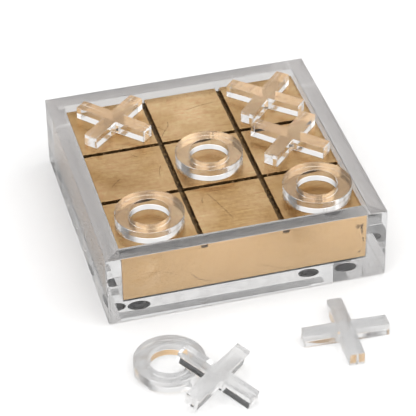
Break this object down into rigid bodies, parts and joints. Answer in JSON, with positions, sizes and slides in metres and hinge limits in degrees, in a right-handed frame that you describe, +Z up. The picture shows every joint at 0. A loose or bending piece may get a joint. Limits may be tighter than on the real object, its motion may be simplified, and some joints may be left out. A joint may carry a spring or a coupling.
{
  "type": "tic tac toe set",
  "caption": "Tabletop tic tac toe set: a gold-leafed grid block in a thick clear acrylic tray, with clear acrylic crosses and rings that lift off.",
  "frame": {"origin": "centre of the whole set's box, at table height: the set is the tray and the three loose pieces in front of it", "axes": "+Z up; -Y is the front, where the loose pieces lie, and +X is to the right as seen from the front"},
  "size_m": [0.2032, 0.3136, 0.0612],
  "materials": {
    "clear_acrylic": "clear cast acrylic, polished",
    "polished_acrylic": "clear cast acrylic game piece, polished",
    "gold_leaf": "wood covered with worn gold leaf, satin",
    "underlay": "thin dark brown sheet",
    "dark_felt": "charcoal felt"
  },
  "bodies": {
    "tray": {"wall_front": "clear_acrylic", "wall_back": "clear_acrylic", "wall_left": "clear_acrylic", "wall_right": "clear_acrylic", "base_plate": "clear_acrylic", "foot_pad_front_left": "dark_felt", "foot_pad_front_right": "dark_felt", "foot_pad_back_left": "dark_felt", "foot_pad_back_right": "dark_felt", "block_underlay": "underlay", "grid_block": "gold_leaf"},
    "cross_back_left_piece": {"cross_back_left": "polished_acrylic"},
    "cross_back_right_piece": {"cross_back_right": "polished_acrylic"},
    "cross_middle_right_piece": {"cross_middle_right": "polished_acrylic"},
    "ring_centre_piece": {"ring_centre": "polished_acrylic"},
    "ring_front_left_piece": {"ring_front_left": "polished_acrylic"},
    "ring_front_right_piece": {"ring_front_right": "polished_acrylic"},
    "ring_loose_piece": {"ring_loose": "polished_acrylic"},
    "cross_loose_piece": {"cross_loose": "polished_acrylic"},
    "cross_leaning_piece": {"cross_leaning": "polished_acrylic"}
  },
  "joints": [
    {"name": "cross_back_left_lift", "type": "slide", "parent": "tray", "child": "cross_back_left_piece", "axis": [0, 0, 1], "range_m": [0, 0.06]},
    {"name": "cross_back_right_lift", "type": "slide", "parent": "tray", "child": "cross_back_right_piece", "axis": [0, 0, 1], "range_m": [0, 0.06]},
    {"name": "cross_middle_right_lift", "type": "slide", "parent": "tray", "child": "cross_middle_right_piece", "axis": [0, 0, 1], "range_m": [0, 0.06]},
    {"name": "ring_centre_lift", "type": "slide", "parent": "tray", "child": "ring_centre_piece", "axis": [0, 0, 1], "range_m": [0, 0.06]},
    {"name": "ring_front_left_lift", "type": "slide", "parent": "tray", "child": "ring_front_left_piece", "axis": [0, 0, 1], "range_m": [0, 0.06]},
    {"name": "ring_front_right_lift", "type": "slide", "parent": "tray", "child": "ring_front_right_piece", "axis": [0, 0, 1], "range_m": [0, 0.06]},
    {"name": "ring_loose_lift", "type": "slide", "parent": "tray", "child": "ring_loose_piece", "axis": [0, 0, 1], "range_m": [0, 0.06]},
    {"name": "cross_loose_lift", "type": "slide", "parent": "tray", "child": "cross_loose_piece", "axis": [0, 0, 1], "range_m": [0, 0.06]},
    {"name": "cross_leaning_lift", "type": "slide", "parent": "ring_loose_piece", "child": "cross_leaning_piece", "axis": [0, 0, 1], "range_m": [0, 0.06]}
  ]
}
